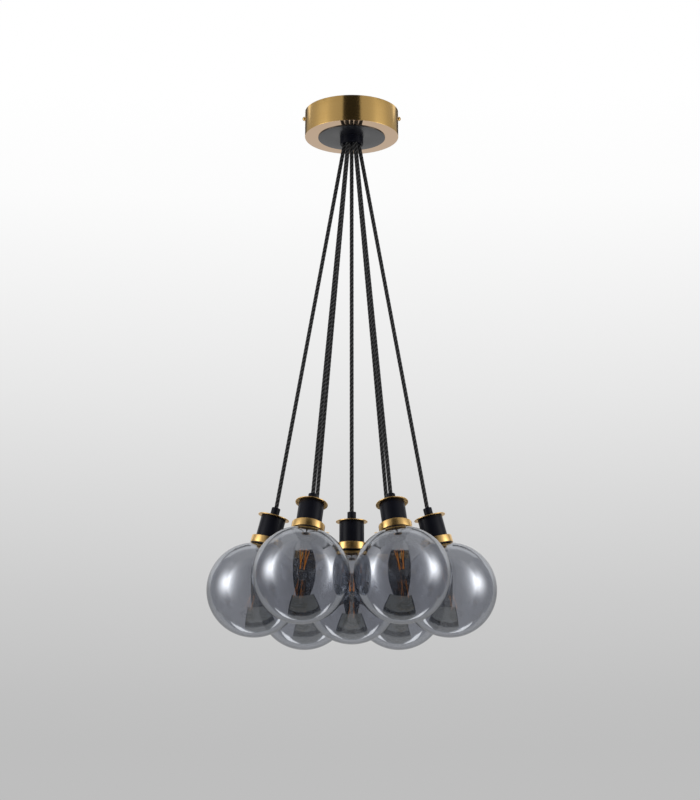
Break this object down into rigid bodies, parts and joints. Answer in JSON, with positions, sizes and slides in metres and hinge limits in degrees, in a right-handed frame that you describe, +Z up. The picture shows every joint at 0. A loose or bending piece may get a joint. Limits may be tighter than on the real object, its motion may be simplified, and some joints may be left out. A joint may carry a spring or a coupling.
{
  "type": "cluster pendant light",
  "caption": "Cluster pendant: smoked glass globes hang on fabric cords from a round brass ceiling canopy, each with a black sleeve, brass collar and candle lamp.",
  "frame": {"origin": "centre of the canopy on the ceiling plane, midway between the two slots of the ceiling bracket", "axes": "+Z up into the ceiling, +X along the bracket towards the right side screw, the picture looks along +Y"},
  "size_m": [0.4588, 0.4174, 0.8915],
  "materials": {
    "canopy_brass": "brushed satin round the side, polished below",
    "lamp_brass": "polished satin",
    "screw_brass": "polished",
    "black_satin": "black satin powder coat",
    "bracket_steel": "zinc plated",
    "nut_steel": "zinc plated",
    "clamp_plastic": "matte nylon",
    "terminal_plastic": "matte natural nylon",
    "lead_sheath": "matte, with brown and blue cores",
    "cord_fabric": "twisted and braided textile with pale flecks",
    "holder_plastic": "matte phenolic",
    "smoked_glass": "smoke grey, half mirrored, clear",
    "bulb_glass": "clear"
  },
  "bodies": {
    "canopy": {"ceiling_bracket": "bracket_steel", "canopy_cup": "canopy_brass", "canopy_disc": "black_satin", "cord_hub": "black_satin", "hub_nut": "nut_steel", "strain_relief": "clamp_plastic", "terminal_strips": "terminal_plastic", "terminal_screws": "nut_steel", "lead_wires": "lead_sheath"},
    "pendant_1": {"cord_1": "cord_fabric", "flange_1": "lamp_brass", "sleeve_and_grip_1": "black_satin", "lampholder_1": "holder_plastic", "collar_1": "lamp_brass"},
    "glass_1": {"globe_1": "smoked_glass"},
    "lamp_1": {"bulb_1": "bulb_glass"},
    "pendant_2": {"cord_2": "cord_fabric", "flange_2": "lamp_brass", "sleeve_and_grip_2": "black_satin", "lampholder_2": "holder_plastic", "collar_2": "lamp_brass"},
    "glass_2": {"globe_2": "smoked_glass"},
    "lamp_2": {"bulb_2": "bulb_glass"},
    "pendant_3": {"cord_3": "cord_fabric", "flange_3": "lamp_brass", "sleeve_and_grip_3": "black_satin", "lampholder_3": "holder_plastic", "collar_3": "lamp_brass"},
    "glass_3": {"globe_3": "smoked_glass"},
    "lamp_3": {"bulb_3": "bulb_glass"},
    "pendant_4": {"cord_4": "cord_fabric", "flange_4": "lamp_brass", "sleeve_and_grip_4": "black_satin", "lampholder_4": "holder_plastic", "collar_4": "lamp_brass"},
    "glass_4": {"globe_4": "smoked_glass"},
    "lamp_4": {"bulb_4": "bulb_glass"},
    "pendant_5": {"cord_5": "cord_fabric", "flange_5": "lamp_brass", "sleeve_and_grip_5": "black_satin", "lampholder_5": "holder_plastic", "collar_5": "lamp_brass"},
    "glass_5": {"globe_5": "smoked_glass"},
    "lamp_5": {"bulb_5": "bulb_glass"},
    "pendant_6": {"cord_6": "cord_fabric", "flange_6": "lamp_brass", "sleeve_and_grip_6": "black_satin", "lampholder_6": "holder_plastic", "collar_6": "lamp_brass"},
    "glass_6": {"globe_6": "smoked_glass"},
    "lamp_6": {"bulb_6": "bulb_glass"},
    "pendant_centre": {"cord_centre": "cord_fabric", "flange_centre": "lamp_brass", "sleeve_and_grip_centre": "black_satin", "lampholder_centre": "holder_plastic", "collar_centre": "lamp_brass"},
    "glass_centre": {"globe_centre": "smoked_glass"},
    "lamp_centre": {"bulb_centre": "bulb_glass"},
    "screw_left": {"side_screw_left": "screw_brass"},
    "screw_right": {"side_screw_right": "screw_brass"}
  },
  "joints": [
    {"name": "pendant_1_swing", "type": "hinge", "parent": "canopy", "child": "pendant_1", "pos_m": [0.012, 0, -0.0575], "axis": [0, -1, 0], "range_deg": [0, 30]},
    {"name": "globe_1_release", "type": "slide", "parent": "pendant_1", "child": "glass_1", "axis": [0.2521, 0, -0.9677], "range_m": [0, 0.11]},
    {"name": "bulb_1_turn", "type": "hinge", "parent": "pendant_1", "child": "lamp_1", "pos_m": [0.13529, 0, -0.73215], "axis": [0.2521, 0, -0.9677], "continuous": true},
    {"name": "pendant_2_swing", "type": "hinge", "parent": "canopy", "child": "pendant_2", "pos_m": [0.006, 0.01039, -0.0575], "axis": [0.866, -0.5, 0], "range_deg": [0, 30]},
    {"name": "globe_2_release", "type": "slide", "parent": "pendant_2", "child": "glass_2", "axis": [0.126, 0.2183, -0.9677], "range_m": [0, 0.11]},
    {"name": "bulb_2_turn", "type": "hinge", "parent": "pendant_2", "child": "lamp_2", "pos_m": [0.06764, 0.11716, -0.73215], "axis": [0.126, 0.2183, -0.9677], "continuous": true},
    {"name": "pendant_3_swing", "type": "hinge", "parent": "canopy", "child": "pendant_3", "pos_m": [-0.006, 0.01039, -0.0575], "axis": [0.866, 0.5, 0], "range_deg": [0, 30]},
    {"name": "globe_3_release", "type": "slide", "parent": "pendant_3", "child": "glass_3", "axis": [-0.126, 0.2183, -0.9677], "range_m": [0, 0.11]},
    {"name": "bulb_3_turn", "type": "hinge", "parent": "pendant_3", "child": "lamp_3", "pos_m": [-0.06764, 0.11716, -0.73215], "axis": [-0.126, 0.2183, -0.9677], "continuous": true},
    {"name": "pendant_4_swing", "type": "hinge", "parent": "canopy", "child": "pendant_4", "pos_m": [-0.012, 0, -0.0575], "axis": [0, 1, 0], "range_deg": [0, 30]},
    {"name": "globe_4_release", "type": "slide", "parent": "pendant_4", "child": "glass_4", "axis": [-0.2521, 0, -0.9677], "range_m": [0, 0.11]},
    {"name": "bulb_4_turn", "type": "hinge", "parent": "pendant_4", "child": "lamp_4", "pos_m": [-0.13529, 0, -0.73215], "axis": [-0.2521, 0, -0.9677], "continuous": true},
    {"name": "pendant_5_swing", "type": "hinge", "parent": "canopy", "child": "pendant_5", "pos_m": [-0.006, -0.01039, -0.0575], "axis": [-0.866, 0.5, 0], "range_deg": [0, 30]},
    {"name": "globe_5_release", "type": "slide", "parent": "pendant_5", "child": "glass_5", "axis": [-0.126, -0.2183, -0.9677], "range_m": [0, 0.11]},
    {"name": "bulb_5_turn", "type": "hinge", "parent": "pendant_5", "child": "lamp_5", "pos_m": [-0.06764, -0.11716, -0.73215], "axis": [-0.126, -0.2183, -0.9677], "continuous": true},
    {"name": "pendant_6_swing", "type": "hinge", "parent": "canopy", "child": "pendant_6", "pos_m": [0.006, -0.01039, -0.0575], "axis": [-0.866, -0.5, 0], "range_deg": [0, 30]},
    {"name": "globe_6_release", "type": "slide", "parent": "pendant_6", "child": "glass_6", "axis": [0.126, -0.2183, -0.9677], "range_m": [0, 0.11]},
    {"name": "bulb_6_turn", "type": "hinge", "parent": "pendant_6", "child": "lamp_6", "pos_m": [0.06764, -0.11716, -0.73215], "axis": [0.126, -0.2183, -0.9677], "continuous": true},
    {"name": "pendant_centre_swing", "type": "hinge", "parent": "canopy", "child": "pendant_centre", "pos_m": [0, 0, -0.0575], "axis": [0, 1, 0], "range_deg": [-0.3, 0.3]},
    {"name": "globe_centre_release", "type": "slide", "parent": "pendant_centre", "child": "glass_centre", "axis": [0, 0, -1], "range_m": [0, 0.11]},
    {"name": "bulb_centre_turn", "type": "hinge", "parent": "pendant_centre", "child": "lamp_centre", "pos_m": [0, 0, -0.7405], "axis": [0, 0, -1], "continuous": true},
    {"name": "screw_left_turn", "type": "hinge", "parent": "canopy", "child": "screw_left", "pos_m": [-0.078, 0, -0.011], "axis": [-1, 0, 0], "continuous": true},
    {"name": "screw_right_turn", "type": "hinge", "parent": "canopy", "child": "screw_right", "pos_m": [0.078, 0, -0.011], "axis": [1, 0, 0], "continuous": true}
  ]
}
